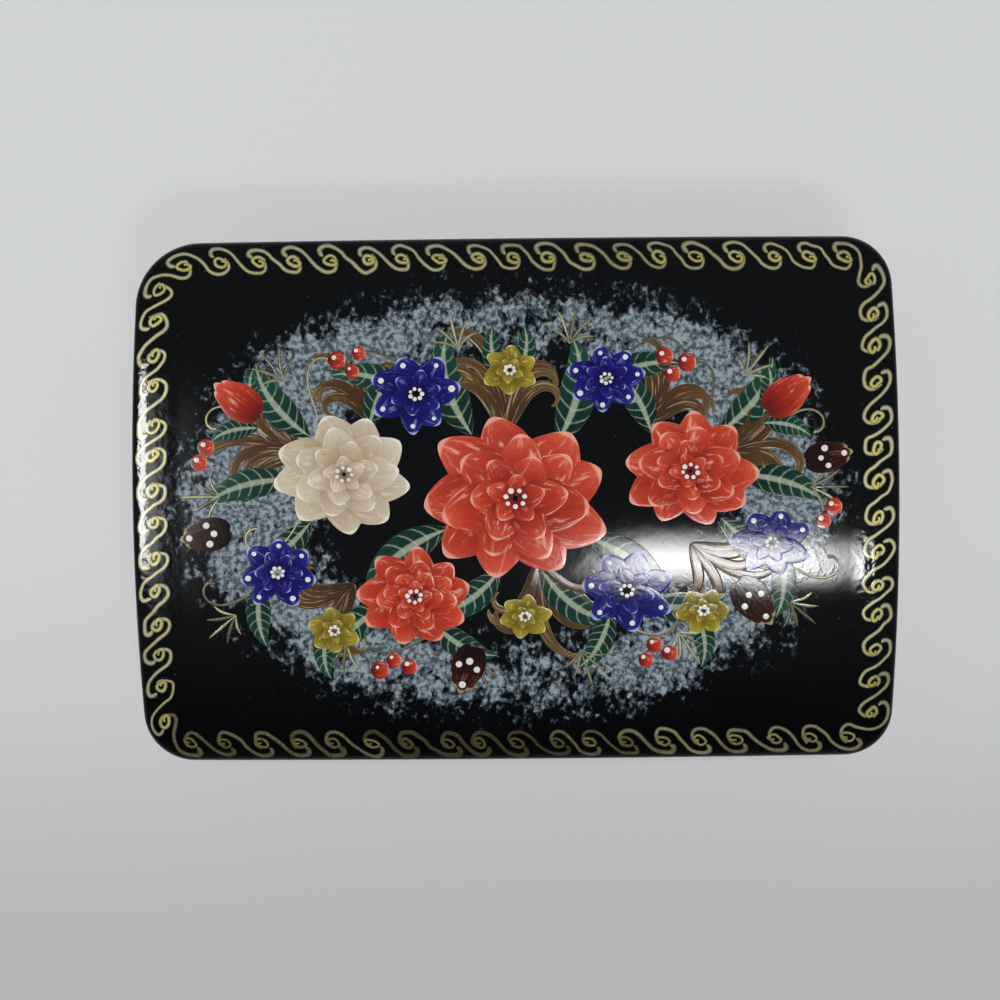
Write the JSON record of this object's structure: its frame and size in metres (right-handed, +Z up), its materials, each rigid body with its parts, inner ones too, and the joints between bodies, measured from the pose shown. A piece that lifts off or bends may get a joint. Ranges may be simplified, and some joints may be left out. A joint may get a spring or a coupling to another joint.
{
  "type": "lacquer box",
  "caption": "Small hinged papier-mache trinket box in black lacquer, with an arched lid, a red lined inside and a gold scroll border round a painted lid.",
  "frame": {"origin": "centre of the underside, on the surface that the box stands on", "axes": "+X along the box's length, +Y towards the hinge at the back, +Z up through the lid"},
  "size_m": [0.09, 0.062, 0.0365],
  "materials": {
    "black_lacquer": "papier-mache under polished black lacquer",
    "red_lacquer": "papier-mache under red lacquer",
    "hinge_brass": "dull rolled brass",
    "hinge_steel": "drawn wire"
  },
  "bodies": {
    "body": {"base_panel": "black_lacquer", "body_wall": "black_lacquer", "inner_liner": "red_lacquer", "hinge_leaf_body": "hinge_brass", "hinge_wire": "hinge_steel", "fixing_pins_body": "hinge_brass"},
    "lid": {"lid_panel": "black_lacquer", "lid_frame": "black_lacquer", "hinge_leaf_lid": "hinge_brass", "fixing_pins_lid": "hinge_brass"}
  },
  "joints": [
    {"name": "lid_hinge", "type": "hinge", "parent": "body", "child": "lid", "pos_m": [0, 0.02972, 0.0221], "axis": [-1, 0, 0], "range_deg": [0, 100]}
  ]
}
